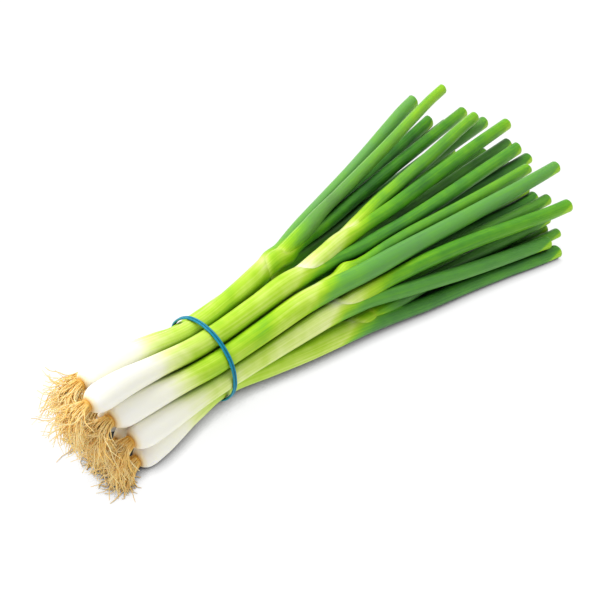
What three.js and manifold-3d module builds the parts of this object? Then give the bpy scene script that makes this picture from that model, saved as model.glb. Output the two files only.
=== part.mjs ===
// A bunch of eleven spring onions lying on a table, held by one rubber band wound twice.
// Millimetres, +Z up. +X runs from the bulbs to the cut leaf ends. The band is at x = 0
// until the last step, which moves the origin under the middle of the bunch.
import * as THREE from "three";
import Module from "manifold-3d";

const wasm = await Module();
wasm.setup();

// ---- Driving dimensions -------------------------------------------------------------

const GAP = 0.3; // clearance between pieces that touch
const MARGIN = 0.3; // extra room kept between leaves while they are laid out
const STATION = 5; // spacing of the cross-sections the bunch is settled in
const STIFFNESS = 6; // stations over which a leaf resists bending
const ROUNDS = 900; // rounds of settling
const LAST_ROUNDS = 0.2; // share of them in which the bending dies away
const EVEN = 0.45; // how much of a bend is evened out in a round
const PULL = 0.03; // how much of the way to its target a leaf goes in a round
const FRONT_GIVE = 0.3; // how far the onions in front give way, against 1 for the others

const STEM_R = 6.2; // shaft under the band
const SWELL = 0.5; // how much wider a shaft is at its first fork
const SHEATH_STEP = 0.9; // a sheath's wall and its clearance, from one sheath to the next
const RING_R = 18.6; // circle of the nine outer stems under the band
const RING_Z = 26.4; // height of that circle's centre
const INNER_R = 6.1; // circle of the two stems in the middle
const PLATE_R = 3.9; // root plate
const BULB_PEAK = 9; // widest place of a bulb, from its base
const BULB_TAPER = 46; // length over which a bulb narrows to the shaft

const BULB_RINGS = [0, 0.8, 3, 6, 10, 15, 21, 29, 38, 48]; // cross-sections, from the base
const SHAFT_RINGS = 26; // then their spacing along the shaft,
const FORK_RINGS = 9; // at a fork,
const BLADE_RINGS = 30; // and along a blade
const SOCKET = 12; // how deep a leaf is modelled inside the sheath before it
const FORK = 62; // length over which a blade parts from the stem
const TOUCHING = 100; // length past its fork over which a leaf touches the one inside it
const FORK_BEND = 45; // bending radius of a blade that parts from the stem
const BLADE = 30; // length over which a sheath turns into a blade
const WALL = 0.9; // wall of a leaf at its cut end
const HOLLOW = 11; // depth of the open end

const BAND_W = 2.7; // two strands side by side
const BAND_T = 1.2;
const BAND_STEPS = 36;
const HELD = 5; // the stems are parallel this far each side of the band

const LEAF_SIDES = 8;
const STEM_SIDES = 10; // outer leaves of the five onions in front

// One row per onion. ring: place round the band in degrees, from the front (-Y) upwards.
// base: root end of the bulb. leaves: outermost first, with the fork's x, the cut end's
// x, y, z, and the blade's radius at its fullest and at the cut end. via: places the axis,
// or a leaf, passes on its way.
const ONIONS = [
  {
    ring: 112, base: [-77, 7, 54], bulb: 7.9, roots: 14, via: [[34, 11.3, 45.2], [78, 17, 45.5]],
    leaves: [
      { fork: 54, via: [[92, 27.5, 43.5], [160, 47, 39]], tip: [262, 80, 37], radii: [4.9, 4.4] },
      { fork: 74, tip: [285, 55.5, 29], radii: [4.5, 3.8] },
      { tip: [277, 68, 45], radii: [4.1, 3.4] },
    ],
  },
  {
    ring: 72, base: [-87, -11, 58], bulb: 7.9, roots: 14, via: [[98, -1, 47]],
    leaves: [
      { fork: 66, via: [[125, -8, 39]], tip: [273, 0, 33], radii: [4.7, 4] },
      { fork: 106, tip: [283, 18, 38], radii: [4.7, 3.9] },
      { tip: [271, 35, 41], radii: [4.8, 3.8] },
    ],
  },
  {
    ring: 32, base: [-76, -14, 42], bulb: 8, roots: 14, via: [[76, -14, 40]],
    leaves: [
      { fork: 64, via: [[80, -20, 35.8], [112, -22.5, 38.2]], tip: [266, -35, 39], radii: [6.4, 3.9] },
      { fork: 90, tip: [262, -17, 31], radii: [4.2, 3.6] },
      { tip: [253, -24, 23], radii: [4.0, 3.1] },
    ],
  },
  {
    ring: -8, base: [-69, -20, 26], bulb: 8, roots: 14, via: [[82, -21.5, 29.4]],
    leaves: [
      { fork: 74, via: [[116, -32, 20]], tip: [241, -62, 12.5], radii: [5.1, 4] },
      { fork: 94, via: [[122, -28, 34.5]], tip: [252, -57, 28], radii: [5.0, 4.2] },
      { tip: [251, -42, 25.5], radii: [4.0, 3.6] },
    ],
  },
  {
    ring: -48, base: [-64, -17, 6], bulb: 7.9, roots: 14,
    via: [[30, -20, 8.8], [66, -23.2, 9], [160, -38, 15.6]],
    leaves: [
      { fork: 84, via: [[120, -32.2, 6.8], [170, -42, 6]], tip: [237, -63, 3], radii: [4.9, 4.4] },
      { fork: 102, via: [[150, -33.4, 9], [190, -41.6, 8.4]], tip: [246, -56, 9.5], radii: [4.2, 3.2] },
      { tip: [243, -49, 19], radii: [4.4, 3.6] },
    ],
  },
  {
    ring: 152, base: [-64, 21, 42], bulb: 7.7, roots: 9,
    leaves: [
      { fork: 62, tip: [273, 67.5, 27.5], radii: [4.8, 4.2] },
      { tip: [284, 37, 30], radii: [4.6, 4] },
    ],
  },
  {
    ring: 192, base: [-58, 23, 25], bulb: 7.7, roots: 9,
    leaves: [
      { fork: 66, tip: [256, 60, 3], radii: [4.8, 4.2] },
      { tip: [277, 63.5, 19.5], radii: [4.8, 3.5] },
    ],
  },
  {
    ring: 232, base: [-60, 17, 6], bulb: 7.8, roots: 9,
    leaves: [
      { fork: 64, tip: [262, 34, 3], radii: [4.8, 4.2] },
      { fork: 90, tip: [268, 49, 10], radii: [4.2, 3.6] },
      { tip: [275, 28, 15], radii: [4.0, 3.4] },
    ],
  },
  {
    ring: 272, base: [-63, 0, 6], bulb: 7.9, roots: 9,
    leaves: [
      { fork: 72, tip: [248, -20, 3], radii: [4.8, 4.2] },
      { tip: [244, -47, 9.5], radii: [4.0, 3.5] },
    ],
  },
  {
    ring: 92, inner: true, base: [-72, 2, 40], bulb: 7.2, roots: 8,
    leaves: [
      { fork: 76, tip: [281, -3, 22.5], radii: [4.4, 3.8] },
      { tip: [282, 14.5, 25.5], radii: [4.0, 3.6] },
    ],
  },
  {
    ring: 252, inner: true, base: [-67, 1, 25], bulb: 7.2, roots: 8,
    leaves: [
      { fork: 80, via: [[136, -13, 19.5]], tip: [257, -27.5, 17], radii: [4.6, 4] },
      { tip: [276, 6, 14], radii: [4.0, 3.4] },
    ],
  },
];

// ---- Small helpers --------------------------------------------------------------------

const lerp = (a, b, t) => a + (b - a) * t;
const clamp01 = (t) => Math.min(Math.max(t, 0), 1);
const smooth = (t) => clamp01(t) ** 2 * (3 - 2 * clamp01(t));
const radians = (degrees) => (degrees * Math.PI) / 180;

// ---- Radii along an onion ---------------------------------------------------------------

// Bulb and shaft at x. The shaft swells a little from the band to the first fork.
function shaftRadius(onion, x) {
  const s = Math.max(x - onion.base[0], 0);
  const stem = onion.inner ? STEM_R - 0.3 : STEM_R;
  if (s < BULB_PEAK) {
    const t = (BULB_PEAK - s) / BULB_PEAK;
    return onion.bulb * Math.sqrt(1 - t * t * (1 - (PLATE_R / onion.bulb) ** 2));
  }
  const swell = onion.via ? SWELL : SWELL / 3;
  const towardsFork = smooth((x - HELD) / (onion.leaves[0].fork - HELD));
  return lerp(onion.bulb, stem, smooth((s - BULB_PEAK) / BULB_TAPER)) + swell * towardsFork;
}

// Leaf k at x: its sheath below the fork, then the blade, slim at first, fullest a third of
// the way along and narrowing to the cut end.
function leafRadius(onion, k, x) {
  const { fork, tip, radii } = onion.leaves[k];
  const start = fork ?? onion.leaves[k - 1].fork + BLADE;
  const sheath = shaftRadius(onion, Math.min(x, onion.leaves[0].fork)) - k * SHEATH_STEP;
  const along = clamp01((x - start) / (tip[0] - start));
  const blade = lerp(radii[0], radii[1], along) * lerp(0.92, 1, smooth(along / 0.35));
  return lerp(sheath, blade, smooth((x - start) / BLADE));
}

// ---- Laying out the bunch ----------------------------------------------------------------

// A path holds y and z at every station. The heart leaf's path is the onion's axis and
// starts at the bulb; the other leaves' paths start at their forks.
function makePaths() {
  const paths = [];
  for (const onion of ONIONS) {
    const heart = onion.leaves.length - 1;
    const angle = radians(onion.ring);
    const ring = onion.inner ? INNER_R : RING_R;
    onion.atBand = [-ring * Math.cos(angle), RING_Z + ring * Math.sin(angle)];
    const outermost = (x) => {
      const k = onion.leaves.findIndex((leaf) => x <= (leaf.fork ?? Infinity));
      return leafRadius(onion, k, x);
    };
    const axis = newPath(onion, heart, onion.base[0], onion.leaves[heart].tip, outermost);
    paths.push(axis);
    onion.paths = [];
    onion.paths[heart] = axis;
    for (let k = 0; k < heart; k++) {
      const { fork, tip } = onion.leaves[k];
      const path = newPath(onion, k, fork, tip, (x) => leafRadius(onion, k, x));
      path.root = axis;
      path.via = onion.leaves[k].via;
      onion.paths[k] = path;
      paths.push(path);
    }
  }
  return paths;
}

function newPath(onion, k, x0, tip, radius) {
  const first = Math.floor(x0 / STATION);
  const last = Math.ceil(tip[0] / STATION);
  const give = onion.via ? FRONT_GIVE : 1;
  const path = { onion, k, first, last, tip, fork: x0, points: [], radius, give };
  for (let i = first; i <= last; i++) {
    const x = i * STATION;
    const target = k === onion.leaves.length - 1 ? axisTarget(onion, tip, x) : null;
    path.points.push({ x, target, at: target && [...target], r: 0, fixed: Math.abs(x) <= HELD });
  }
  return path;
}

// Where an onion's axis wants to be: bulb, band, then on to the heart's end.
function axisTarget(onion, tip, x) {
  const [bx, by, bz] = onion.base;
  const [y, z] = onion.atBand;
  if (x >= 0) return alongRoute([[HELD, y, z], ...(onion.via ?? []), tip], x);
  const t = smooth((-x - HELD) / (-bx - BULB_PEAK - HELD));
  return [lerp(y, by, t), lerp(z, bz, t)];
}

// The y and z at x on straight lines through a few places.
function alongRoute(stops, x) {
  const next = Math.max(stops.findIndex((stop) => stop[0] > x), 1);
  const [a, b] = x < stops.at(-1)[0] ? [stops[next - 1], stops[next]] : stops.slice(-2);
  const t = clamp01((x - a[0]) / (b[0] - a[0]));
  return [lerp(a[1], b[1], t), lerp(a[2], b[2], t)];
}

// Side leaves start on the axis and head for their own cut ends.
function aimSideLeaves(paths) {
  for (const path of paths.filter((p) => p.root)) {
    const from = [path.fork, ...pointAt(path.root, path.fork)];
    for (const point of path.points) {
      point.target = alongRoute([from, ...(path.via ?? []), path.tip], point.x);
      point.at = [...point.target];
    }
  }
}

function pointAt(path, x) {
  const f = Math.min(Math.max(x / STATION - path.first, 0), path.points.length - 1);
  const i = Math.min(Math.floor(f), path.points.length - 2);
  const a = path.points[i].at;
  const b = path.points[i + 1].at;
  return [lerp(a[0], b[0], f - i), lerp(a[1], b[1], f - i)];
}

// How far apart two paths have to be at x. Leaves of one onion part gradually, from the
// fork of the outer one.
function neededRoom(a, b, x, ra, rb) {
  const room = ra + rb + GAP + MARGIN;
  if (a.onion !== b.onion) return room;
  const outer = a.k < b.k ? a : b;
  return room * smooth((x - outer.fork) / FORK);
}

// Rounds of pulling each path towards its target, smoothing it, pushing neighbours
// apart and keeping everything above the table.
function settle(paths) {
  const stations = new Map();
  for (const path of paths) {
    for (const point of path.points) {
      point.r = path.radius(Math.min(point.x, path.tip[0]));
      point.path = path;
      if (!stations.has(point.x)) stations.set(point.x, []);
      stations.get(point.x).push(point);
    }
  }
  for (let round = 0; round < ROUNDS; round++) {
    const ease = clamp01((1 - round / ROUNDS) / (1 - LAST_ROUNDS));
    for (const path of paths) {
      smoothPath(path, 1 + (round % STIFFNESS), EVEN * ease, PULL * ease);
    }
    for (const [x, points] of stations) {
      for (let i = 0; i < points.length; i++) {
        for (let j = i + 1; j < points.length; j++) {
          pushApart(points[i], points[j], x);
        }
      }
      for (const point of points) {
        if (!point.fixed) point.at[1] = Math.max(point.at[1], 0.9 * point.r);
      }
    }
  }
}

// Evens out a path's bend, like a springy stem, from its points some stations either side.
function smoothPath(path, reach, amount, pull) {
  const before = path.points.map((p) => [...p.at]);
  const last = before.length - 1;
  const place = (i) => (i < 0 ? pointAt(path.root, path.points[0].x + i * STATION) : before[i]);
  path.points.forEach((point, i) => {
    if (point.fixed) return;
    if (i === 0 && path.root) {
      point.at = pointAt(path.root, point.x);
      return;
    }
    const room = Math.min(last - i, path.root ? Infinity : i);
    const step = Math.min(reach, Math.floor(room / 2));
    for (const axis of [0, 1]) {
      if (step > 0) {
        const [a, b, c, d] = [-2, -1, 1, 2].map((k) => place(i + k * step)[axis]);
        point.at[axis] += amount * ((4 * (b + c) - a - d) / 6 - point.at[axis]);
      }
      point.at[axis] += pull * (point.target[axis] - point.at[axis]);
    }
  });
}

// How far apart two leaves of one onion can be at x: they bend away from each other from
// the fork of the outer one.
function mostRoom(a, b, x) {
  if (a.onion !== b.onion) return Infinity;
  const outer = a.k < b.k ? a : b;
  return Math.max(x - outer.fork, 0) ** 2 / (2 * FORK_BEND);
}

function pushApart(a, b, x) {
  const least = neededRoom(a.path, b.path, x, a.r, b.r);
  const most = Math.max(mostRoom(a.path, b.path, x), least);
  const dy = b.at[0] - a.at[0];
  const dz = b.at[1] - a.at[1];
  const distance = Math.hypot(dy, dz) || 1e-6;
  if (distance >= least && distance <= most) return;
  const need = distance < least ? least : most;
  const giveA = a.fixed ? 0 : a.path.give;
  const giveB = b.fixed ? 0 : b.path.give;
  const push = (need - distance) / distance / (giveA + giveB || 1);
  a.at[0] -= giveA * push * dy;
  a.at[1] -= giveA * push * dz;
  b.at[0] += giveB * push * dy;
  b.at[1] += giveB * push * dz;
}

// ---- Solids --------------------------------------------------------------------------------

// Closed skin through rings of equal side count. A ring is a list of [x, y, z] points.
function skin(rings) {
  const sides = rings[0].length;
  const vertices = rings.flat(2);
  const triangles = [];
  for (let i = 0; i + 1 < rings.length; i++) {
    for (let j = 0; j < sides; j++) {
      const a = i * sides + j;
      const b = i * sides + ((j + 1) % sides);
      triangles.push(a, a + sides, b, b, a + sides, b + sides);
    }
  }
  const end = (rings.length - 1) * sides;
  for (let j = 1; j + 1 < sides; j++) {
    triangles.push(0, j, j + 1, end, end + j + 1, end + j);
  }
  return solid(vertices, triangles);
}

function solid(vertices, triangles) {
  const mesh = new wasm.Mesh({
    numProp: 3,
    vertProperties: new Float32Array(vertices),
    triVerts: new Uint32Array(triangles),
  });
  return new wasm.Manifold(mesh);
}

function biggestBody(manifold) {
  const bodies = manifold.decompose();
  return bodies.reduce((a, b) => (b.volume() > a.volume() ? b : a));
}

// A ring round (y, z) in the plane x, with a flat side down.
function ring(x, [y, z], radius, sides) {
  return Array.from({ length: sides }, (_, j) => {
    const angle = ((j + 0.5) / sides) * 2 * Math.PI - Math.PI / 2;
    return [x, y - radius * Math.cos(angle), z + radius * Math.sin(angle)];
  });
}

// Centre of leaf k at x: on the axis as far as its fork, then on its own path.
function centre(onion, k, x) {
  const axis = onion.paths[onion.leaves.length - 1];
  return x <= (onion.leaves[k].fork ?? Infinity) ? pointAt(axis, x) : pointAt(onion.paths[k], x);
}

function leafTube(onion, k, places, grow = 0) {
  const sides = k === 0 && onion.via ? STEM_SIDES : LEAF_SIDES;
  return places.map((x) => ring(x, centre(onion, k, x), leafRadius(onion, k, x) + grow, sides));
}

function spread(from, to, spacing) {
  const count = Math.max(Math.round((to - from) / spacing), 1);
  return Array.from({ length: count }, (_, i) => lerp(from, to, i / count));
}

// The x of every ring of leaf k, closest together round the bulb, the band and the forks.
function leafPlaces(onion, k) {
  const { fork, tip } = onion.leaves[k];
  const places = [];
  if (k === 0) {
    const base = onion.base[0];
    places.push(...BULB_RINGS.slice(0, -1).map((s) => base + s));
    places.push(...spread(base + BULB_RINGS.at(-1), -HELD, SHAFT_RINGS), -HELD);
    places.push(...spread(HELD, fork, SHAFT_RINGS));
  } else {
    const mouth = onion.leaves[k - 1].fork;
    places.push(mouth - SOCKET, mouth);
    places.push(...spread(mouth + FORK_RINGS, fork ?? mouth + BLADE, FORK_RINGS));
  }
  const from = fork ?? onion.leaves[k - 1].fork + BLADE;
  places.push(...spread(from, from + FORK, FORK_RINGS));
  places.push(...spread(from + FORK, tip[0] - HOLLOW, BLADE_RINGS), tip[0] - HOLLOW, tip[0]);
  return places;
}

// A leaf is a solid tube with an open end, less the room of the leaves inside it.
function makeLeaf(onion, k) {
  const { fork, tip } = onion.leaves[k];
  const rings = leafTube(onion, k, leafPlaces(onion, k));
  const sides = rings[0].length;
  const endRadius = leafRadius(onion, k, tip[0]) - WALL;
  rings.push(ring(tip[0], centre(onion, k, tip[0]), endRadius, sides));
  rings.push(ring(tip[0] - HOLLOW, centre(onion, k, tip[0] - HOLLOW), endRadius, sides));
  let body = skin(rings);
  for (let inner = k + 1; inner < onion.leaves.length; inner++) {
    const places = leafPlaces(onion, inner).filter((x) => x < fork + TOUCHING);
    places[0] -= GAP;
    body = body.subtract(skin(leafTube(onion, inner, places, GAP)));
  }
  return biggestBody(body.trimByPlane([0, 0, 1], 0)).simplify(0.02);
}

// ---- Roots -----------------------------------------------------------------------------------

let seed = 11;
function random() {
  seed = (seed * 1103515245 + 12345) % 2147483648;
  return seed / 2147483648;
}

const ROOT_R = 0.75;
const ROOT_POINTS = 4;
const grownRoots = [];

// One root: leaves the plate, spreads, and bends down towards the table.
function growRoot(onion) {
  const [bx] = onion.base;
  const [by, bz] = centre(onion, 0, bx);
  const turn = random() * 2 * Math.PI;
  const out = Math.sqrt(random());
  const length = lerp(15, 28, random());
  const start = [bx - 1.4, by + 3 * out * Math.cos(turn), bz + 3 * out * Math.sin(turn)];
  const aim = [-1, 0.7 * out * Math.cos(turn), 0.6 * out * Math.sin(turn) - 0.1];
  const droop = lerp(0.5, 2, random());
  const curl = lerp(-0.5, 0.5, random());
  const points = [start];
  const step = length / (ROOT_POINTS - 1);
  let [px, py, pz] = start;
  for (let i = 1; i < ROOT_POINTS; i++) {
    const t = i / (ROOT_POINTS - 1);
    const dx = aim[0] * lerp(1, 0.5, t);
    const dy = aim[1] + curl * t;
    const dz = aim[2] - droop * t * t;
    const norm = step / Math.hypot(dx, dy, dz);
    px += dx * norm;
    py += dy * norm;
    pz = Math.max(pz + dz * norm, ROOT_R + 0.1);
    points.push([px, py, pz]);
  }
  return points;
}

function segmentsApart(a0, a1, b0, b1) {
  let best = Infinity;
  for (let i = 0; i <= 4; i++) {
    for (let j = 0; j <= 4; j++) {
      const s = i / 4;
      const t = j / 4;
      const d = [0, 1, 2].map((k) => lerp(a0[k], a1[k], s) - lerp(b0[k], b1[k], t));
      best = Math.min(best, Math.hypot(...d));
    }
  }
  return best;
}

// Roots of different onions, and roots and bulbs, keep clear of each other.
function isClear(onion, points) {
  for (const other of grownRoots) {
    if (other.onion === onion) continue;
    if (Math.abs(other.points[0][1] - points[0][1]) > 60) continue;
    for (let i = 0; i + 1 < points.length; i++) {
      for (let j = 0; j + 1 < other.points.length; j++) {
        const apart = segmentsApart(
          points[i], points[i + 1], other.points[j], other.points[j + 1]);
        if (apart < 2.6 * ROOT_R + 0.9) return false;
      }
    }
  }
  for (const neighbour of ONIONS) {
    if (neighbour === onion) continue;
    for (const [x, y, z] of points) {
      if (x < neighbour.base[0] - 6) continue;
      const at = centre(neighbour, 0, Math.max(x, neighbour.base[0]));
      const room = shaftRadius(neighbour, Math.max(x, neighbour.base[0] + 3)) + ROOT_R + 1;
      if (Math.hypot(y - at[0], z - at[1]) < room) return false;
    }
  }
  return true;
}

function rootTube(points) {
  const rings = points.map(([x, y, z], i) => {
    const r = ROOT_R * lerp(1, 0.7, i / (points.length - 1));
    return [0, 1, 2].map((j) => {
      const angle = (j / 3) * 2 * Math.PI + Math.PI / 2;
      return [x, y - r * Math.cos(angle), z + r * Math.sin(angle)];
    });
  });
  return skin(rings.map((r) => r.reverse()));
}

function makeRoots(onion) {
  const [bx] = onion.base;
  const at = centre(onion, 0, bx);
  let body = skin([
    ring(bx - 3.6, at, PLATE_R - 0.9, 8),
    ring(bx - GAP, at, PLATE_R - 0.1, 8),
  ]);
  const tubes = [];
  for (let tries = 0; tries < 60 * onion.roots && tubes.length < onion.roots; tries++) {
    const points = growRoot(onion);
    if (!isClear(onion, points)) continue;
    grownRoots.push({ onion, points });
    tubes.push(rootTube(points));
  }
  body = wasm.Manifold.union([body, ...tubes]);
  return biggestBody(body.trimByPlane([0, 0, 1], 0)).simplify(0.02);
}

// ---- Rubber band --------------------------------------------------------------------------------

// Two strands side by side, pulled tight round the outer stems.
function makeBand() {
  const section = [
    [-0.5, 0], [-0.5, 0.7], [-0.25, 1], [0, 0.65], [0.25, 1], [0.5, 0.7], [0.5, 0],
  ];
  const rings = [];
  for (let i = 0; i < BAND_STEPS; i++) {
    const angle = (i / BAND_STEPS) * 2 * Math.PI;
    const out = [Math.cos(angle), Math.sin(angle)];
    const reach = (o) => o.atBand[0] * out[0] + o.atBand[1] * out[1];
    const stem = ONIONS.reduce((a, b) => (reach(b) > reach(a) ? b : a));
    rings.push(section.map(([across, up]) => {
      const r = STEM_R + GAP + up * BAND_T;
      return [across * BAND_W, stem.atBand[0] + r * out[0], stem.atBand[1] + r * out[1]];
    }));
  }
  const vertices = rings.flat(2);
  const triangles = [];
  const sides = section.length;
  for (let i = 0; i < BAND_STEPS; i++) {
    const next = (i + 1) % BAND_STEPS;
    for (let j = 0; j < sides; j++) {
      const k = (j + 1) % sides;
      const [a, b, c, d] = [i * sides + j, i * sides + k, next * sides + j, next * sides + k];
      triangles.push(a, c, b, b, c, d);
    }
  }
  const band = solid(vertices, triangles);
  return band.trimByPlane([0, 0, 1], 0);
}

// ---- Putting it together ---------------------------------------------------------------------------

const skinMaterial = (color, roughness) => new THREE.MeshStandardMaterial({ color, roughness });
const MATERIALS = {
  outer: skinMaterial("#8fbf5a", 0.5),
  inner: skinMaterial("#7db545", 0.45),
  heart: skinMaterial("#a5cc4e", 0.45),
  roots: skinMaterial("#d9b36a", 0.8),
  band: skinMaterial("#1e84b8", 0.5),
};

const group = new THREE.Group();
group.name = "spring_onion_bunch";

function addNode(name, manifold, material) {
  const { vertProperties, triVerts } = manifold.getMesh();
  const geometry = new THREE.BufferGeometry();
  geometry.setAttribute("position", new THREE.BufferAttribute(vertProperties, 3));
  geometry.setIndex(new THREE.BufferAttribute(triVerts, 1));
  geometry.computeVertexNormals();
  const mesh = new THREE.Mesh(geometry, material);
  mesh.name = name;
  group.add(mesh);
}

const paths = makePaths();
aimSideLeaves(paths);
settle(paths);

ONIONS.forEach((onion, i) => {
  const name = `onion_${i + 1}`;
  onion.leaves.forEach((leaf, k) => {
    const part = k === 0 ? "outer_leaf" : leaf.fork ? "second_leaf" : "heart_leaf";
    const material = k === 0 ? MATERIALS.outer : leaf.fork ? MATERIALS.inner : MATERIALS.heart;
    addNode(`${name}_${part}`, makeLeaf(onion, k), material);
  });
  addNode(`${name}_roots`, makeRoots(onion), MATERIALS.roots);
});
addNode("rubber_band", makeBand(), MATERIALS.band);

// Origin under the middle of the bunch, on the table.
const box = new THREE.Box3().setFromObject(group);
const middle = box.getCenter(new THREE.Vector3());
for (const mesh of group.children) {
  mesh.geometry.translate(-middle.x, -middle.y, -box.min.z);
}

export default group;
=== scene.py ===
import itertools
import math
import random

import bpy
import numpy as np
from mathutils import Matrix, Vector


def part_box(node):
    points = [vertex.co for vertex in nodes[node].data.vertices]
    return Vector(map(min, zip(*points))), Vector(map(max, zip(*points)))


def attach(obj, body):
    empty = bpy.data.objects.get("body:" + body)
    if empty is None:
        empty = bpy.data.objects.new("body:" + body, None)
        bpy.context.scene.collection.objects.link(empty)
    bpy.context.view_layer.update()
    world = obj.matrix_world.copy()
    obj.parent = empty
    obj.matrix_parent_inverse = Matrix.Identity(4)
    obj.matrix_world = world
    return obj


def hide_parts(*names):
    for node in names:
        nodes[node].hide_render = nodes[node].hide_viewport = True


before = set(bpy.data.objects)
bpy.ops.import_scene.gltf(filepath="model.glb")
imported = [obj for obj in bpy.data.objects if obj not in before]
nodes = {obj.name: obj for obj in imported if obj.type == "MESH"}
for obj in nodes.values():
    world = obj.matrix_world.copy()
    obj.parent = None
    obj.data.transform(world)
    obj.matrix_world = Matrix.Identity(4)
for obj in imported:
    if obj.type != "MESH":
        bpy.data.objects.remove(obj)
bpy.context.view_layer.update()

MM = 0.001

# =====================================================================================
# LEAVES, SHAFTS AND BULBS
# A spring onion is a nest of rolled leaves. Each one swells into the bulb's skin, runs
# up the white shaft as a closed sheath, and opens in a slanting mouth, past which it is
# a hollow green blade. The next leaf comes out of that mouth.
# =====================================================================================

SAME = 0.02 * MM  # points this close are one, or lie on the same line
NEAR_MARK = 0.4 * MM  # a ring this near an inner leaf's ring is the mark it leaves
SLIMMEST, THICKEST = 2.5 * MM, 9.5 * MM  # radius of any leaf or bulb
SIDES = 40  # facets round a leaf
ROW = 2.2 * MM  # length of sheet from one section to the next
RIM = 0.25 * MM  # rounding of the cut edge
HOLLOW = 11 * MM  # depth of the open end
LIP = 2 * MM  # depth over which the wall behind the rim thickens
RIB_DEPTH = 0.010  # height of the ribs along a leaf, as a share of its radius
MOST_SLANT = 0.16  # how far a cut end may be askew, as a share of the radius
FOOT_TAPER = 0.85  # how far the foot of an inner leaf is drawn in
SNUG = 0.02 * MM  # room between a sheath and the leaf inside it
ROLES = ("outer_leaf", "second_leaf", "heart_leaf")
MOUTH_EDGE = 1.3 * MM  # width of the thin, paler edge of a mouth
MOUTH_LENGTH = 22 * MM  # how far a slanting mouth reaches along the leaf
THIN_EDGE = 0.10  # how much paler that edge is, on the scale below
SHADE_SIDE_GREEN_LAG = 10 * MM  # painted shade: a leaf is drawn this much sooner green on its lower front side, away from the light
LOWER_FRONT = math.radians(230)  # that side, measured from +Y over the top
LAG_FADE = 30 * MM  # how far past the band this difference takes to come in
PATTERN_RADIUS = 6  # mm; every leaf wears its streaks as if it were this thick
PATTERN_STEP = 40  # mm by which the streaks of one leaf are moved from the last one's


def section_circle(corners):
    """Centre and radius of the widest circle that most corners of a section lie on."""
    trios = np.array(list(itertools.combinations(corners, 3)))
    a, b, c = trios[:, 0], trios[:, 1], trios[:, 2]
    across = b - a
    up = c - a
    turn = 2 * (across[:, 0] * up[:, 1] - across[:, 1] * up[:, 0])
    bent = np.abs(turn) > 1e-9
    if not bent.any():
        return 0, None, 0
    a, across, up, turn = a[bent], across[bent], up[bent], turn[bent]
    across2 = (across**2).sum(1)
    up2 = (up**2).sum(1)
    centre = a + np.stack([
        (up[:, 1] * across2 - across[:, 1] * up2) / turn,
        (across[:, 0] * up2 - up[:, 0] * across2) / turn,
    ], 1)
    radius = np.linalg.norm(a - centre, axis=1)
    distance = np.linalg.norm(corners[None] - centre[:, None], axis=2)
    hits = (np.abs(distance - radius[:, None]) < SAME).sum(1)
    hits[(radius < SLIMMEST) | (radius > THICKEST)] = 0
    enough = max(4, 0.7 * hits.max())
    best = max(range(len(hits)), key=lambda i: (hits[i] >= enough, radius[i], hits[i]))
    return hits[best], centre[best], radius[best]


def read_sections(node, inside):
    """Rows of x, y, z, radius down a leaf's node, without the marks of the leaf inside it."""
    corners = []
    for place in sorted(tuple(vertex.co) for vertex in nodes[node].data.vertices):
        if not corners or place[0] - corners[-1][0] > SAME:
            corners.append((place[0], set()))
        corners[-1][1].add((round(place[1], 6), round(place[2], 6)))
    rows = []
    for x, points in corners:
        if len(points) < 4:
            continue
        hits, centre, radius = section_circle(np.array(sorted(points)))
        inner = min((abs(x - row[0]), row[3]) for row in inside) if len(inside) else (1, 0)
        if hits >= 4 and not (inner[0] < NEAR_MARK and radius < inner[1] + NEAR_MARK):
            rows.append((x, *centre, radius))
    if rows[-2][3] < rows[-1][3] - 0.5 * MM:
        del rows[-2]  # the bottom of the hollow in the cut end
    return np.array(rows)


def flow(rows, x):
    """The row at x on the smooth line through a leaf's sections."""
    places = rows[:, 0]
    slope = np.gradient(rows[:, 1:], places, axis=0)
    x = np.clip(np.atleast_1d(x), places[0], places[-1])
    i = np.clip(np.searchsorted(places, x, side="right") - 1, 0, len(places) - 2)
    width = (places[i + 1] - places[i])[:, None]
    t = (x[:, None] - places[i][:, None]) / width
    a, b = rows[i, 1:], rows[i + 1, 1:]
    bend = slope[i] * width * (t**3 - 2 * t**2 + t) + slope[i + 1] * width * (t**3 - t**2)
    value = a * (2 * t**3 - 3 * t**2 + 1) + b * (3 * t**2 - 2 * t**3) + bend
    return np.column_stack([x, value])


def select_only(piece):
    bpy.ops.object.select_all(action="DESELECT")
    piece.select_set(True)
    bpy.context.view_layer.objects.active = piece


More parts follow.
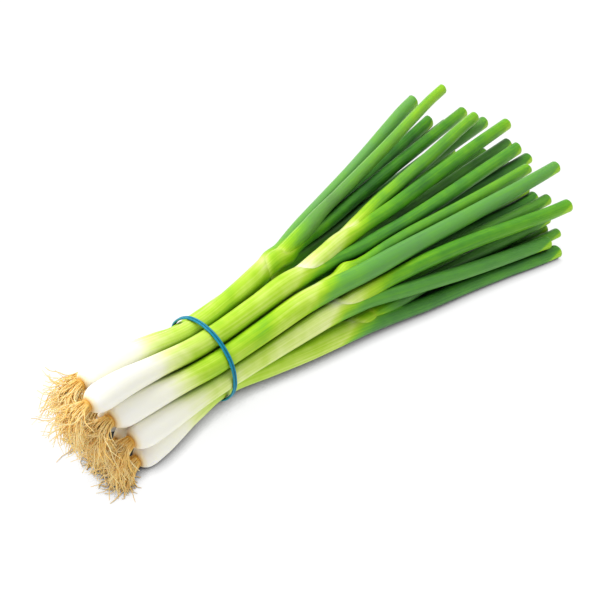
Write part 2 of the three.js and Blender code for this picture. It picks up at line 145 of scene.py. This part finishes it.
def roll_sheet(name, rows, ribs=0.0, lean=(0.0, 0.0)):
    """A flat sheet rolled into a closed tube, one row of the sheet to each section.

    lean is how far the cut end slants, as a share of the radius, and towards which side.
    """
    bpy.ops.object.select_all(action="DESELECT")
    bpy.ops.mesh.primitive_grid_add(x_subdivisions=SIDES, y_subdivisions=len(rows) - 1)
    tube = bpy.context.object
    tube.name = tube.data.name = name
    angle = np.linspace(0, 2 * math.pi, SIDES + 1)
    ridge = 0.6 * np.cos(7 * angle + lean[1]) + 0.4 * np.cos(12 * angle + 2 * lean[1])
    x, y, z, radius = (rows[:, k][:, None] for k in range(4))
    round_it = radius * (1 + ribs * ridge[None])
    slant = lean[0] * (1 + np.sin(angle + lean[1]))[None] * radius
    cut_end = np.clip((x - (rows[:, 0].max() - HOLLOW)) / HOLLOW, 0, 1) ** 2
    co = np.stack([
        x - slant * cut_end,
        y - round_it * np.sin(angle)[None],
        z - round_it * np.cos(angle)[None],
    ], 2)
    tube.data.vertices.foreach_set("co", co.astype(np.float32).ravel())
    tube.data.update()
    select_only(tube)
    bpy.ops.object.mode_set(mode="EDIT")
    bpy.ops.mesh.select_all(action="SELECT")
    bpy.ops.mesh.remove_doubles(threshold=0.001 * MM)
    bpy.ops.mesh.normals_make_consistent(inside=False)
    bpy.ops.object.mode_set(mode="OBJECT")
    bpy.ops.object.shade_smooth_by_angle(angle=math.radians(50))
    return tube


def with_ends(rows):
    """A leaf's rows with its closed foot, the cut rim and the hollow behind the rim."""
    foot = rows[0].copy()
    foot[3] = 0
    tip = rows[-1]
    rim = []
    for step in range(1, 5):
        turn = step / 4 * math.pi
        rim.append([tip[0] - RIM + RIM * math.sin(turn), tip[1], tip[2],
                    tip[3] - RIM + RIM * math.cos(turn)])
    inner = flow(rows, np.array([tip[0] - LIP, tip[0] - HOLLOW]))[:, :4]
    wall = tip[3] - 2 * RIM
    rim = np.array(rim)
    inner[:, 3] = [max(wall - 0.3 * MM, 1 * MM), wall - 0.4 * MM]
    closed = inner[-1].copy()
    closed[3] = 0
    body = rows[:-1]
    body = body[body[:, 0] < tip[0] - RIM]
    edge = tip.copy()
    edge[0] -= RIM
    return np.vstack([foot, body, edge, rim, inner, closed])


BAND_X = sum(corner.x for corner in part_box("rubber_band")) / 2
sections = {}
for number in range(1, 12):
    inside = []
    for role in reversed(ROLES):
        leaf = f"onion_{number}_{role}"
        if leaf in nodes:
            sections[leaf] = read_sections(leaf, inside)
            if len(inside):
                # The inner leaf's foot keeps to the middle of the sheath, clear of its wall.
                inside[:2, 1:3] = flow(sections[leaf], inside[:2, 0])[:, 1:3]
                inside[0, 3] *= FOOT_TAPER
            inside = sections[leaf]


def leaf_rows(leaf):
    """Closely spaced rows for a leaf, closest at its foot."""
    known = sections[leaf]
    start = known[0, 0]
    end = known[-1, 0]
    near = start + np.array([0, 0.4, 0.9, 1.5, 2.2, 3.1, 4.2, 5.5]) * MM
    count = max(int((end - near[-1]) / ROW), 2)
    return flow(known, np.concatenate([near, np.linspace(near[-1], end, count)[1:]]))


def open_mouth(sheath, leaf):
    """Cuts the room of an inner leaf out of the sheath round it."""
    rows = leaf_rows(leaf)
    rows[0, 0] -= SNUG
    rows[:, 3] += SNUG
    ends = rows[[0, -1]].copy()
    ends[:, 3] = 0
    room = roll_sheet("room", np.vstack([ends[0], rows, ends[1]]))
    select_only(sheath)
    cut = sheath.modifiers.new("mouth", "BOOLEAN")
    cut.object = room
    cut.operation = "DIFFERENCE"
    cut.solver = "EXACT"
    bpy.ops.object.modifier_apply(modifier=cut.name)
    bpy.data.objects.remove(room)
    bpy.ops.object.shade_smooth_by_angle(angle=math.radians(50))


# How green each leaf is, on a scale from the white of the bulb at 0 to the darkest blade
# at 1: where it starts to show (the band or its mouth), at its fork, along its blade and
# near its end. Then how much bluish wax it carries, and over how many mm past its fork it
# turns to the blade's green.
BLADES = {
    "onion_1_outer_leaf": (0.51, 0.46, 0.79, 0.77, 0.90, 34),
    "onion_1_second_leaf": (0.46, 0.56, 0.92, 0.74, 0.06, 80),
    "onion_1_heart_leaf": (0.56, 0.66, 0.88, 0.60, 0.45, 36),
    "onion_2_outer_leaf": (0.50, 0.44, 0.83, 0.77, 0.20, 44),
    "onion_2_second_leaf": (0.35, 0.42, 0.84, 0.72, 0.10, 66),
    "onion_2_heart_leaf": (0.44, 0.46, 0.79, 0.70, 0.20, 76),
    "onion_3_outer_leaf": (0.56, 0.45, 0.84, 0.80, 0.62, 46),
    "onion_3_second_leaf": (0.50, 0.56, 0.78, 0.73, 0.35, 40),
    "onion_3_heart_leaf": (0.54, 0.60, 0.84, 0.78, 0.10, 50),
    "onion_4_outer_leaf": (0.40, 0.37, 0.82, 0.87, 0.35, 36),
    "onion_4_second_leaf": (0.38, 0.44, 0.81, 0.76, 0.15, 60),
    "onion_4_heart_leaf": (0.54, 0.60, 0.86, 0.80, 0.30, 60),
    "onion_5_outer_leaf": (0.48, 0.45, 0.88, 0.86, 0.25, 26),
    "onion_5_second_leaf": (0.50, 0.60, 0.92, 0.77, 0.55, 36),
    "onion_5_heart_leaf": (0.60, 0.76, 0.97, 0.84, 0.20, 24),
}


def read_off(stops, x):
    places, values = zip(*sorted(stops))
    return np.interp(x, places, values)


def leaf_tone(leaf, x):
    """Tone of a leaf at x: white at the bulb, pale up the shaft, green along the blade."""
    pale, sheath, blade, last, _, ripening = blade_look(leaf)
    tip = sections[leaf][-1, 0]
    inner = inner_of(leaf)
    mouth = sections[leaf][1, 0]
    fork = sections[inner][1, 0] if inner else mouth + 14 * MM
    # Each stop is a place along the leaf and its tone there.
    if leaf.endswith("outer_leaf"):
        base = sections[leaf][0, 0]
        shaft = BAND_X - base
        stops = [(base, 0), (base + 0.8 * MM, 0.04), (base + 2.5 * MM, 0.1),
                 (base + 0.42 * shaft, 0.15), (base + 0.62 * shaft, 0.62 * pale),
                 (base + 0.82 * shaft, 0.92 * pale), (BAND_X + 25 * MM, pale),
                 (fork - 25 * MM, 0.5 * (pale + sheath))]
    else:
        stops = [(mouth, pale)]
    half = sheath + 0.65 * (blade - sheath)
    stops += [(fork, sheath), (fork + 0.4 * ripening * MM, half),
              (fork + ripening * MM, blade), (tip - 15 * MM, last),
              (tip - 3 * MM, last - 0.04), (tip, 0.58)]
    return read_off(stops, x)


def inner_of(leaf):
    """The leaf that comes out of this one's mouth, if any."""
    stem, role = leaf.rsplit("_", 2)[0], "_".join(leaf.rsplit("_", 2)[1:])
    for other in ROLES[ROLES.index(role) + 1:]:
        if f"{stem}_{other}" in nodes:
            return f"{stem}_{other}"
    return None


def family(leaf):
    """The other leaves of the same onion."""
    stem = leaf.rsplit("_", 2)[0]
    return [f"{stem}_{role}" for role in ROLES
            if f"{stem}_{role}" in nodes and f"{stem}_{role}" != leaf]


def blade_look(leaf):
    """A leaf's row of the table; leaves at the back take theirs by chance."""
    if leaf in BLADES:
        return BLADES[leaf]
    pick = random.Random(leaf)
    return (0.5, 0.5, pick.uniform(0.86, 0.96), pick.uniform(0.76, 0.90),
            pick.uniform(0.05, 0.35), 36)


def near_mouth(co, leaf):
    """1 on the line where one leaf comes out of another, 0 from a little way off it."""
    close = np.zeros(len(co))
    for other in family(leaf):
        rows = sections[other]
        fork = max(rows[1, 0], sections[leaf][1, 0])
        at = flow(rows, co[:, 0])
        off = np.abs(np.hypot(co[:, 1] - at[:, 1], co[:, 2] - at[:, 2]) - at[:, 3])
        inside = (co[:, 0] > rows[0, 0]) & (co[:, 0] < fork + MOUTH_LENGTH)
        close = np.maximum(close, inside * np.clip(1 - off / MOUTH_EDGE, 0, 1))
    return close


def mark_leaf(piece, leaf):
    """Stores on each point its tone, its wax, its mouth and its place on the flat leaf."""
    mesh = piece.data
    co = np.empty(len(mesh.vertices) * 3, np.float32)
    mesh.vertices.foreach_get("co", co)
    co = co.reshape(-1, 3).astype(float)
    rows = flow(sections[leaf], co[:, 0])
    angle = np.arctan2(co[:, 2] - rows[:, 2], co[:, 1] - rows[:, 1])
    shift = PATTERN_STEP * list(sections).index(leaf)
    straight = np.column_stack([co[:, 0] / MM + shift, PATTERN_RADIUS * np.cos(angle),
                                PATTERN_RADIUS * np.sin(angle)])
    mouth = near_mouth(co, leaf)
    past_band = np.clip((co[:, 0] - BAND_X) / LAG_FADE, 0, 1)
    # Painted shade: the lower front side, away from the light, turns green sooner.
    shade_side_shift = SHADE_SIDE_GREEN_LAG * np.cos(angle - LOWER_FRONT) * past_band
    marks = {
        "tone": ("FLOAT", "value", leaf_tone(leaf, co[:, 0] + shade_side_shift) - THIN_EDGE * mouth),
        "mouth": ("FLOAT", "value", mouth),
        "wax": ("FLOAT", "value", np.full(len(co), blade_look(leaf)[4])),
        "grain": ("FLOAT_VECTOR", "vector", straight),
    }
    for name, (kind, field, values) in marks.items():
        attribute = mesh.attributes.new(name, kind, "POINT")
        attribute.data.foreach_set(field, values.astype(np.float32).ravel())


def srgb(hex_colour):
    """Linear colour from a hex value."""
    parts = [int(hex_colour[i:i + 2], 16) / 255 for i in (1, 3, 5)]
    return [c / 12.92 if c <= 0.04045 else ((c + 0.055) / 1.055) ** 2.4 for c in parts] + [1]


def new_material(name):
    material = bpy.data.materials.new(name)
    material.use_nodes = True
    material.node_tree.nodes.clear()
    return material


def add(material, kind, settings=None, **inputs):
    """Adds a node. An input is a value or another node's output; i6 is the one numbered 6."""
    tree = material.node_tree
    node = tree.nodes.new("ShaderNode" + kind)
    for key, value in (settings or {}).items():
        setattr(node, key, value)
    for key, value in inputs.items():
        key = key.replace("_", " ")
        numbered = key[0] == "i" and key[1:].isdigit()
        socket = node.inputs[int(key[1:]) if numbered else key]
        if isinstance(value, bpy.types.NodeSocket):
            tree.links.new(value, socket)
        else:
            socket.default_value = value
    return node


def set_ramp(node, stops):
    ramp = node.color_ramp
    while len(ramp.elements) > 1:
        ramp.elements.remove(ramp.elements[-1])
    for i, (place, colour) in enumerate(stops):
        element = ramp.elements[0] if i == 0 else ramp.elements.new(place)
        element.position = place
        element.color = srgb(colour)


# Root end, white bulb, cream shaft, then pale, yellow, mid, dark and bluish green.
TONES = [
    (0.00, "#e6c68c"), (0.04, "#f8ebcc"), (0.10, "#fffdf2"), (0.20, "#fbfbe2"),
    (0.32, "#e6f1a0"), (0.42, "#cbe464"), (0.50, "#b2d832"), (0.60, "#90c80c"),
    (0.70, "#6cb010"), (0.80, "#4a9414"), (0.90, "#2c701a"), (1.00, "#164e1a"),
]


def leaf_skin(name, wax_colour, roughness):
    """Living leaf skin: waxy, faintly ribbed along its length, paler where it is young, and
    darkened with painted shade between its neighbours.
    """
    skin = new_material(name)
    grain = add(skin, "Attribute", {"attribute_name": "grain"}).outputs["Vector"]
    tone = add(skin, "Attribute", {"attribute_name": "tone"}).outputs["Fac"]
    wax = add(skin, "Attribute", {"attribute_name": "wax"}).outputs["Fac"]
    # Veins run the length of a leaf, about 1 mm apart: 60 times as long as they are wide.
    veins = add(skin, "Mapping", Vector=grain, Scale=(0.016, 1.0, 1.0)).outputs["Vector"]
    # The streaks and the broad clouds each move the tone up or down by 0.12 at most.
    streaks = add(skin, "TexNoise", Vector=veins, Scale=0.9, Detail=3.0, Roughness=0.6)
    clouds = add(skin, "TexNoise", Vector=grain, Scale=0.07, Detail=2.0)
    wander = add(skin, "Math", {"operation": "MULTIPLY_ADD"}, i0=streaks.outputs["Fac"],
                 i1=0.24, i2=-0.12)
    drift = add(skin, "Math", {"operation": "MULTIPLY_ADD"}, i0=clouds.outputs["Fac"],
                i1=0.24, i2=-0.12)
    both = add(skin, "Math", {"operation": "ADD"}, i0=wander.outputs[0], i1=drift.outputs[0])
    # Painted shade: between its neighbours, where little light reaches, the tone is pushed to
    # a deeper green.
    open_air = add(skin, "AmbientOcclusion", {"samples": 6}, Distance=7 * MM)
    mouth = add(skin, "Attribute", {"attribute_name": "mouth"}).outputs["Fac"]
    openness_for_painted_shade = add(skin, "Math", {"operation": "MAXIMUM"}, i0=open_air.outputs["AO"], i1=mouth)
    painted_shade_deepen = add(skin, "MapRange", Value=openness_for_painted_shade.outputs[0], From_Min=0.15, From_Max=0.75,
                 To_Min=0.16, To_Max=0.0)
    all_three = add(skin, "Math", {"operation": "ADD"}, i0=both.outputs[0],
                    i1=painted_shade_deepen.outputs[0])
    # The white bulb has no streaks: they fade in as the tone rises.
    fade = add(skin, "MapRange", Value=tone, From_Min=0.10, From_Max=0.40, To_Max=1.0)
    vary = add(skin, "Math", {"operation": "MULTIPLY_ADD"}, i0=all_three.outputs[0],
               i1=fade.outputs[0], i2=tone)
    colour = add(skin, "ValToRGB", Fac=vary.outputs[0])
    set_ramp(colour, TONES)
    waxed = add(skin, "MapRange", Value=vary.outputs[0], From_Min=0.56, From_Max=0.86,
                To_Max=0.68)
    bloom = add(skin, "Math", {"operation": "MULTIPLY"}, i0=wax, i1=waxed.outputs[0])
    # Painted shade: the pale bloom colour is held back where neighbouring leaves hem the leaf
    # in.
    painted_shade_bloom_cut = add(skin, "MapRange", Value=open_air.outputs["AO"], From_Min=0.30, From_Max=0.80)
    cover = add(skin, "Math", {"operation": "MULTIPLY"}, i0=bloom.outputs[0],
                i1=painted_shade_bloom_cut.outputs[0])
    finish = add(skin, "Mix", {"data_type": "RGBA"}, i0=cover.outputs[0],
                 i6=colour.outputs["Color"], i7=srgb(wax_colour))
    # Painted shade: little light gets between the leaves, and what does is green, so the
    # colour is darkened to green there.
    painted_dusk_shade = add(skin, "ValToRGB", Fac=openness_for_painted_shade.outputs[0])
    set_ramp(painted_dusk_shade, [(0.10, "#50643c"), (0.60, "#ffffff")])
    shaded = add(skin, "Mix", {"data_type": "RGBA", "blend_type": "MULTIPLY"},
                 i0=fade.outputs[0], i6=finish.outputs[2], i7=painted_dusk_shade.outputs["Color"])
    fine = add(skin, "TexNoise", Vector=veins, Scale=2.4, Detail=2.0)
    relief = add(skin, "Bump", Strength=0.6, Distance=0.12 * MM, Height=fine.outputs["Fac"])
    shader = add(skin, "BsdfPrincipled", Base_Color=shaded.outputs[2], Roughness=roughness,
                 IOR=1.42, Specular_IOR_Level=0.3, Subsurface_Weight=0.25,
                 Subsurface_Radius=(1.0, 1.0, 0.4), Subsurface_Scale=2 * MM,
                 Coat_Weight=0.04, Coat_Roughness=0.28, Normal=relief.outputs[0])
    add(skin, "OutputMaterial", Surface=shader.outputs[0])
    return skin


SKINS = {
    "outer_leaf": leaf_skin("outer leaf skin, thick bluish wax", "#84bc70", 0.42),
    "second_leaf": leaf_skin("second leaf skin, thin wax", "#88be66", 0.38),
    "heart_leaf": leaf_skin("heart leaf skin, young and glossy", "#a4d478", 0.35),
}

for leaf in sections:
    role = "_".join(leaf.rsplit("_", 2)[1:])
    pick = random.Random(leaf + " shape")
    piece = roll_sheet(leaf + "_skin", with_ends(leaf_rows(leaf)), RIB_DEPTH,
                       (pick.uniform(0.0, MOST_SLANT), pick.uniform(0, 6.28)))
    within = inner_of(leaf)
    while within:
        open_mouth(piece, within)
        within = inner_of(within)
    mark_leaf(piece, leaf)
    piece.data.materials.clear()
    piece.data.materials.append(SKINS[role])
    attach(piece, "root")
    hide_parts(leaf)

# =====================================================================================
# ROOTS
# Each bulb ends in a small corky plate, from which over a hundred dry golden roots grow.
# They leave it like a brush, spread, and sink over each other to the table.
# =====================================================================================

PLATE = 3.6 * MM  # radius of the root plate
PLATE_BULGE = 1.9 * MM  # how far the plate bulges from its middle
PLATE_OUT = 1.0 * MM  # how far its middle stands out of the bulb
ROOTS = {"front": 150, "back": 110}  # roots of one onion
ROOT_POINTS = 10
ROOT_LENGTH = (13, 36, 23)  # mm: least, most and usual
ROOT_R = 0.40 * MM
THIN_TIP = 0.62  # share of its thickness that a root loses by its tip
FAN = (0.45, 0.4)  # how far the outermost roots lean out, sideways and up
DROOP = (0.05, 0.42)  # least and most that a root bends down
WAVE = (0.15, 0.6)  # least and most sideways swing, as a share of a step
KINK = 0.13  # chance bend at each step
RISE = 12 * MM  # a root this far above its plate bends straight down

bulbs = [sections[f"onion_{number}_outer_leaf"] for number in range(1, 12)]


def keep_out(point, own):
    """Moves a point of a root out of the bulbs that it would run into."""
    for index, rows in enumerate(bulbs):
        if index == own or point.x < rows[0, 0] - 1 * MM:
            continue
        _, y, z, radius = flow(rows, max(point.x, rows[0, 0] + 2 * MM))[0]
        away = Vector((0, point.y - y, point.z - z))
        room = radius + ROOT_R
        if away.length < room:
            away = away.normalized() if away.length > 1e-6 else Vector((0, 0, -1))
            point.y = y + away.y * room
            point.z = z + away.z * room
    point.z = max(point.z, ROOT_R)


def grow_root(pick, base, own):
    """Points down one root: straight out of the plate, then waving and sinking."""
    turn = pick.uniform(0, 2 * math.pi)
    out = pick.random() ** 0.4
    point = base + Vector((-PLATE_OUT, 0.9 * PLATE * out * math.cos(turn),
                           0.9 * PLATE * out * math.sin(turn)))
    heading = Vector((-1, FAN[0] * out * math.cos(turn), FAN[1] * out * math.sin(turn)))
    length = pick.triangular(*ROOT_LENGTH) * MM
    step = length / (ROOT_POINTS - 1)
    droop = pick.uniform(*DROOP)
    # The bend that this root keeps to all along, back, sideways and up.
    curl = Vector((pick.uniform(0, 0.16), pick.gauss(0.03, 0.15), pick.gauss(0, 0.12)))
    phase = pick.uniform(0, 2 * math.pi)
    wave = pick.uniform(*WAVE)
    points = [point.copy()]
    for i in range(1, ROOT_POINTS):
        # A root leaves its plate straight, and bends freely from its fourth step.
        loose = min(max(i - 1, 0) / 3, 1)
        wiggle = Vector((0, math.cos(phase + 1.3 * i), math.sin(phase + 1.3 * i))) * wave
        kink = Vector([pick.gauss(0, KINK) for _ in range(3)])
        sag = droop * i / 5 + max(point.z - base.z, 0) / RISE
        heading = heading.normalized() + loose * (curl + kink) - Vector((0, 0, sag))
        point = point + (heading.normalized() + loose * wiggle).normalized() * step
        keep_out(point, own)
        points.append(point.copy())
    return points


def grow_tuft(number):
    """One onion's roots and the corky plate that they spring from, as one mesh."""
    base = Vector(bulbs[number - 1][0][:3])
    pick = random.Random(f"roots {number}")
    count = ROOTS["front" if number <= 5 else "back"]
    strands = bpy.data.curves.new(f"onion_{number}_tuft", "CURVE")
    strands.dimensions = "3D"
    strands.bevel_depth = ROOT_R
    strands.bevel_resolution = 0
    strands.resolution_u = 1
    strands.use_fill_caps = True
    for _ in range(count):
        points = grow_root(pick, base, number - 1)
        thick = pick.uniform(0.7, 1.3)
        spline = strands.splines.new("NURBS")
        spline.points.add(len(points) - 1)
        spline.use_endpoint_u = True
        spline.order_u = 3
        for i, point in enumerate(points):
            spline.points[i].co = (*point, 1)
            along = i / (len(points) - 1)
            spline.points[i].radius = thick * (1 - THIN_TIP * along**1.3)
    tuft = bpy.data.objects.new(f"onion_{number}_tuft", strands)
    bpy.context.scene.collection.objects.link(tuft)
    select_only(tuft)
    bpy.ops.object.convert(target="MESH")
    tuft = bpy.context.object
    a_strand = len(tuft.data.vertices) // count
    shades = np.repeat([pick.random() for _ in range(count)], a_strand)

    bpy.ops.object.select_all(action="DESELECT")
    bpy.ops.mesh.primitive_uv_sphere_add(segments=24, ring_count=12, radius=1,
                                         location=base - Vector((PLATE_OUT, 0, 0)))
    plate = bpy.context.object
    plate.scale = (PLATE_BULGE, PLATE, PLATE)
    bpy.ops.object.transform_apply(location=True, rotation=True, scale=True)
    select_only(tuft)
    plate.select_set(True)
    bpy.ops.object.join()
    tuft = bpy.context.object
    bpy.ops.object.shade_smooth()

    mesh = tuft.data
    co = np.empty(len(mesh.vertices) * 3, np.float32)
    mesh.vertices.foreach_get("co", co)
    reach = np.linalg.norm(co.reshape(-1, 3) - np.array(base), axis=1) / MM
    shade = np.concatenate([shades, np.zeros(len(reach) - len(shades))])
    for name, values in (("reach", reach), ("shade", shade)):
        attribute = mesh.attributes.new(name, "FLOAT", "POINT")
        attribute.data.foreach_set("value", values.astype(np.float32))
    return tuft


# Dry root fibre: thin, matt and golden, brown where it leaves the plate, and each root a
# little lighter or darker than the next.
root_fibre = new_material("dry root fibre")
reach = add(root_fibre, "Attribute", {"attribute_name": "reach"}).outputs["Fac"]
strand = add(root_fibre, "Attribute", {"attribute_name": "shade"}).outputs["Fac"]
place = add(root_fibre, "TexCoord").outputs["Object"]
blotches = add(root_fibre, "TexNoise", Vector=place, Scale=300.0, Detail=2.0)
by_reach = add(root_fibre, "MapRange", Value=reach, From_Min=1.0, From_Max=9.0, To_Max=0.45)
by_strand = add(root_fibre, "Math", {"operation": "MULTIPLY_ADD"}, i0=strand, i1=0.4,
                i2=by_reach.outputs[0])
shade = add(root_fibre, "Math", {"operation": "MULTIPLY_ADD"},
            i0=blotches.outputs["Fac"], i1=0.3, i2=by_strand.outputs[0])
fibre_colour = add(root_fibre, "ValToRGB", Fac=shade.outputs[0])
set_ramp(fibre_colour, [(0.0, "#ac7018"), (0.3, "#dca238"), (0.65, "#f6cc72"),
                        (1.0, "#ffeab0")])
fibre = add(root_fibre, "BsdfPrincipled", Base_Color=fibre_colour.outputs["Color"],
            Roughness=0.5, Subsurface_Weight=0.15, Subsurface_Radius=(1.0, 0.6, 0.3),
            Subsurface_Scale=0.5 * MM)
add(root_fibre, "OutputMaterial", Surface=fibre.outputs[0])

for number in range(1, 12):
    tuft = grow_tuft(number)
    tuft.name = f"onion_{number}_tuft"
    tuft.data.materials.clear()
    tuft.data.materials.append(root_fibre)
    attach(tuft, "root")
    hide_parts(f"onion_{number}_roots")

# =====================================================================================
# RUBBER BAND
# One blue rubber band, doubled: it goes round the bunch twice, its two turns side by
# side, and crosses itself once at the back. It is stretched tight over the stems.
# =====================================================================================

STRAND_R = 0.66 * MM
TURNS = 2
STEPS = 72  # points to a turn
CROSSING = math.radians(-10)  # where the turns cross, measured from +Y over the top
CROSSING_HALF = math.radians(28)  # the turns change sides over this much either way
HUMP = 1.5  # strand radii by which one turn climbs over the other there
APART = 1.02  # strand radii from the band's middle line to each turn
PROUD = 0.1 * MM  # how far the round strands stand out of the band's flats

low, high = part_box("rubber_band")
band_middle = (low + high) / 2
quarter = (high.x - low.x) / 4
crest = []
for vertex in nodes["rubber_band"].data.vertices:
    if abs(abs(vertex.co.x - BAND_X) - quarter) < SAME:
        out = vertex.co - band_middle
        crest.append((math.atan2(out.z, out.y), math.hypot(out.y, out.z)))
crest_angles, crest_reach = np.array(sorted(set(crest))).T


def band_radius(angle):
    """Distance of the band's outside from its middle."""
    return np.interp(angle, crest_angles, crest_reach, period=2 * math.pi)


loop = bpy.data.curves.new("band_loop", "CURVE")
loop.dimensions = "3D"
loop.bevel_depth = STRAND_R
loop.bevel_resolution = 4
loop.resolution_u = 3
spline = loop.splines.new("NURBS")
spline.points.add(TURNS * STEPS - 1)
spline.use_cyclic_u = True
spline.order_u = 4
for i in range(TURNS * STEPS):
    angle = 2 * math.pi * i / STEPS
    past = (angle - CROSSING) % (4 * math.pi)
    first_turn = past < 2 * math.pi
    into = past if first_turn else past - 2 * math.pi
    edge = min(into, 2 * math.pi - into) / CROSSING_HALF
    side = min(edge, 1) * (1 if first_turn else -1)
    hump = max(0, 1 - edge) if first_turn else 0
    reach_here = band_radius(angle) - STRAND_R + PROUD + HUMP * STRAND_R * hump
    spline.points[i].co = (BAND_X + side * APART * STRAND_R,
                           band_middle.y + reach_here * math.cos(angle),
                           band_middle.z + reach_here * math.sin(angle), 1)
band = bpy.data.objects.new("doubled_rubber_band", loop)
bpy.context.scene.collection.objects.link(band)
select_only(band)
bpy.ops.object.convert(target="MESH")
band = bpy.context.object
for polygon in band.data.polygons:
    polygon.use_smooth = True

rubber = new_material("stretched natural rubber, dyed blue")
grain_place = add(rubber, "TexCoord").outputs["Object"]
speckle = add(rubber, "TexNoise", Vector=grain_place, Scale=900.0, Detail=2.0)
rubber_colour = add(rubber, "ValToRGB", Fac=speckle.outputs["Fac"])
set_ramp(rubber_colour, [(0.3, "#007896"), (0.7, "#0092b2")])
# Painted shade: the groove between the two turns is darkened where each turn hides it from the
# light.
groove = add(rubber, "AmbientOcclusion", {"samples": 6}, Distance=1.2 * MM)
groove_painted_shade = add(rubber, "ValToRGB", Fac=groove.outputs["AO"])
set_ramp(groove_painted_shade, [(0.35, "#587884"), (0.85, "#ffffff")])
rubber_with_groove_shade = add(rubber, "Mix", {"data_type": "RGBA", "blend_type": "MULTIPLY"}, i0=1.0,
                  i6=rubber_colour.outputs["Color"], i7=groove_painted_shade.outputs["Color"])
rubber_relief = add(rubber, "Bump", Strength=0.15, Distance=0.05 * MM,
                    Height=speckle.outputs["Fac"])
rubber_shader = add(rubber, "BsdfPrincipled", Base_Color=rubber_with_groove_shade.outputs[2],
                    Roughness=0.42, IOR=1.5, Specular_IOR_Level=0.3,
                    Normal=rubber_relief.outputs[0])
add(rubber, "OutputMaterial", Surface=rubber_shader.outputs[0])
band.data.materials.clear()
band.data.materials.append(rubber)
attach(band, "root")
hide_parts("rubber_band")

# =====================================================================================
# TABLE, LIGHT AND CAMERA
# A white sweep under a big soft light from the far left, with an even white surround.
# =====================================================================================

TABLE_WIDTH = 12  # m, so that its edge is never in sight
SURROUND = 0.72  # brightness of the white surround
LIGHT_FROM = Vector((-0.55, 0.75, 1.65))
LIGHT_WIDTH = 1.3
LIGHT_WATTS = 31
CAMERA_FROM_BAND = Vector((-425.7, -497.5, 616.2)) * MM  # from the table under the band
CAMERA_LOOK = Vector((0.5436, 0.5398, -0.6428))
CAMERA_ANGLE = math.radians(21.22)

bpy.ops.object.select_all(action="DESELECT")
bpy.ops.mesh.primitive_plane_add(size=TABLE_WIDTH)
table = bpy.context.object
table.name = "table"
# Matt white floor that glows evenly: it stays white right up to the bunch, and a painted
# contact shadow dims the glow only within a few millimetres of it.
paper = new_material("emissive matt white floor, painted contact shadow")
near = add(paper, "AmbientOcclusion", {"samples": 8}, Distance=8 * MM)
glow = add(paper, "MapRange", Value=near.outputs["AO"], From_Min=0.25, From_Max=0.85,
           To_Min=0.30, To_Max=0.95)
# Painted shade: where the bunch is over it the glow is dimmed almost to nothing, as no light
# comes back up between the leaves.
above = add(paper, "AmbientOcclusion", {"samples": 8}, Distance=60 * MM)
painted_shade_under_bunch = add(paper, "MapRange", Value=above.outputs["AO"], From_Min=0.16, From_Max=0.38,
              To_Min=0.04, To_Max=1.0)
glow_with_painted_shadow = add(paper, "Math", {"operation": "MULTIPLY"}, i0=glow.outputs[0],
                i1=painted_shade_under_bunch.outputs[0])
paper_shader = add(paper, "BsdfPrincipled", Base_Color=srgb("#505050"), Roughness=0.9,
                   Specular_IOR_Level=0.1, Emission_Color=(1, 1, 1, 1),
                   Emission_Strength=glow_with_painted_shadow.outputs[0])
add(paper, "OutputMaterial", Surface=paper_shader.outputs[0])
table.data.materials.append(paper)

world = bpy.data.worlds.new("white surround")
bpy.context.scene.world = world
world.use_nodes = True
world.node_tree.nodes["Background"].inputs["Color"].default_value = (1, 1, 1, 1)
world.node_tree.nodes["Background"].inputs["Strength"].default_value = SURROUND

light = bpy.data.lights.new("softbox", "AREA")
light.shape = "SQUARE"
light.size = LIGHT_WIDTH
light.energy = LIGHT_WATTS
softbox = bpy.data.objects.new("softbox", light)
softbox.location = LIGHT_FROM
softbox.rotation_euler = LIGHT_FROM.to_track_quat("Z", "Y").to_euler()
bpy.context.scene.collection.objects.link(softbox)

camera = bpy.data.objects.new("camera", bpy.data.cameras.new("camera"))
camera.location = Vector((BAND_X, band_middle.y, 0)) + CAMERA_FROM_BAND
camera.rotation_euler = CAMERA_LOOK.to_track_quat("-Z", "Y").to_euler()
camera.data.angle = CAMERA_ANGLE
camera.data.clip_end = 50
bpy.context.scene.collection.objects.link(camera)
bpy.context.scene.camera = camera
bpy.context.scene.view_settings.view_transform = "Standard"
